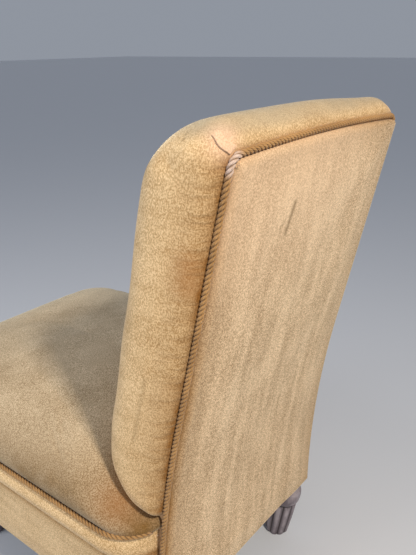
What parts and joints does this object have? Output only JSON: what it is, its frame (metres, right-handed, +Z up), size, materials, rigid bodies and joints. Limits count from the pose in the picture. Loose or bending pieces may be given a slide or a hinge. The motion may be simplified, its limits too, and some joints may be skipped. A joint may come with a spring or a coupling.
{
  "type": "cocktail chair",
  "caption": "Small armless upholstered cocktail chair with a crowned sprung seat, a raked padded back edged in twisted cord, and short turned reeded legs.",
  "frame": {"origin": "on the floor, under the middle of the chair's bounding box", "axes": "+Z up; the sitter faces -Y, so the back is at +Y; +X is the sitter's left"},
  "size_m": [0.479, 0.6704, 0.7785],
  "materials": {
    "leg_wood": "greyed, waxed, reeded",
    "frame_beech": "planed, unfinished",
    "fastener_steel": "plain",
    "tack_steel": "blued",
    "jute_webbing": "woven strip",
    "spring_steel": "coppered wire",
    "hessian": "coarse weave",
    "fibre_stuffing": "loose fibre",
    "seat_velour": "short pile, worn",
    "border_velour": "short pile",
    "back_velour": "short pile, brushed flat",
    "twisted_cord": "twisted strands",
    "dust_cloth": "plain weave"
  },
  "bodies": {
    "root": {"back_cord": "twisted_cord", "back_cover": "border_velour", "back_hessian": "hessian", "back_stay_rail": "frame_beech", "back_stuffing": "fibre_stuffing", "back_top_rail": "frame_beech", "back_webbing": "jute_webbing", "corner_block_screws": "fastener_steel", "dust_cover": "dust_cloth", "dust_cover_tacks": "tack_steel", "frame_dowels": "frame_beech", "front_left_corner_block": "frame_beech", "front_left_leg": "leg_wood", "front_right_corner_block": "frame_beech", "front_right_leg": "leg_wood", "front_seat_rail": "frame_beech", "left_back_post": "frame_beech", "left_seat_rail": "frame_beech", "outside_back_lining": "hessian", "outside_back_panel": "back_velour", "rail_border": "border_velour", "rear_left_corner_block": "frame_beech", "rear_left_leg": "leg_wood", "rear_right_corner_block": "frame_beech", "rear_right_leg": "leg_wood", "rear_seat_rail": "frame_beech", "right_back_post": "frame_beech", "right_seat_rail": "frame_beech", "seat_cord": "twisted_cord", "seat_cover": "seat_velour", "seat_edge_roll": "border_velour", "seat_hessian": "hessian", "seat_springs": "spring_steel", "seat_stuffing": "fibre_stuffing", "seat_webbing": "jute_webbing"}
  },
  "joints": []
}
